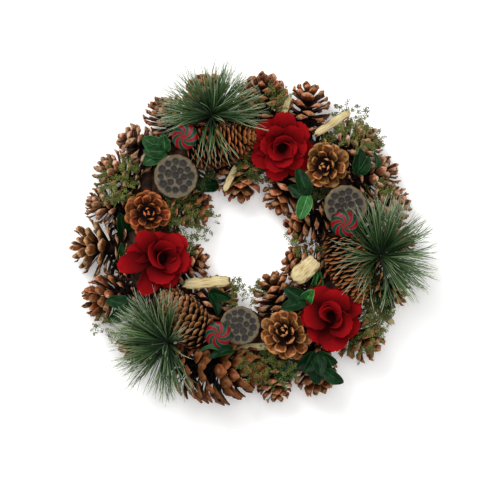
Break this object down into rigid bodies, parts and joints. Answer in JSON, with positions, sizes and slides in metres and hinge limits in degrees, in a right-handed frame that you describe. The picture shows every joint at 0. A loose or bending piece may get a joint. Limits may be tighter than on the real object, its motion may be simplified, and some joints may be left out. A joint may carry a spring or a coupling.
{
  "type": "pinecone wreath",
  "caption": "Round wreath of open and long pine cones on a twisted vine ring, with roses, lotus pods, swirled sweets, needle sprays, leaves, wood chips and moss.",
  "frame": {"origin": "middle of the wreath's outline on the plane that its back lies on", "axes": "+Z out of the front, away from the back it lies on; +X to the right and +Y to the top of the wreath as it hangs"},
  "size_m": [0.3727, 0.3508, 0.1187],
  "materials": {
    "vine": "dull",
    "cone_brown": "dull",
    "cone_tan": "dull",
    "needle": "satin",
    "seed_pod": "dull",
    "sweet": "gloss",
    "rose": "velvety",
    "chip": "raw",
    "leaf": "satin",
    "moss": "dull"
  },
  "bodies": {
    "root": {"cone_inner_01": "cone_brown", "cone_inner_02": "cone_brown", "cone_inner_03": "cone_brown", "cone_inner_04": "cone_brown", "cone_inner_05": "cone_brown", "cone_inner_06": "cone_brown", "cone_inner_07": "cone_brown", "cone_inner_08": "cone_brown", "cone_outer_01": "cone_brown", "cone_outer_02": "cone_brown", "cone_outer_03": "cone_brown", "cone_outer_04": "cone_brown", "cone_outer_05": "cone_brown", "cone_outer_06": "cone_brown", "cone_outer_07": "cone_brown", "cone_outer_08": "cone_brown", "cone_outer_09": "cone_brown", "cone_outer_10": "cone_brown", "cone_outer_11": "cone_brown", "cone_outer_12": "cone_brown", "cone_outer_13": "cone_brown", "cone_outer_14": "cone_brown", "cone_outer_15": "cone_brown", "cone_outer_16": "cone_brown", "cone_outer_17": "cone_brown", "cone_outer_18": "cone_brown", "cone_outer_19": "cone_brown", "leaf_sprig_hole": "leaf", "leaf_sprig_inner_right": "leaf", "leaf_sprig_lower_left": "leaf", "leaf_sprig_lower_right": "leaf", "leaf_sprig_right": "leaf", "leaf_sprig_upper_left": "leaf", "leaf_sprig_upper_right": "leaf", "long_cone_left": "cone_tan", "long_cone_right": "cone_tan", "long_cone_top": "cone_tan", "lotus_pod_bottom": "seed_pod", "lotus_pod_left": "seed_pod", "lotus_pod_right": "seed_pod", "moss_bottom": "moss", "moss_left": "moss", "moss_right": "moss", "needle_spray_left": "needle", "needle_spray_right": "needle", "needle_spray_top": "needle", "rose_left": "rose", "rose_right": "rose", "rose_top": "rose", "rosette_cone_bottom": "cone_tan", "rosette_cone_left": "cone_tan", "rosette_cone_right": "cone_tan", "swirl_sweet_bottom": "sweet", "swirl_sweet_right": "sweet", "swirl_sweet_top": "sweet", "vine_ring": "vine", "wood_chip_left": "chip", "wood_chip_outer": "chip", "wood_chip_right": "chip", "wood_chip_top": "chip"}
  },
  "joints": []
}
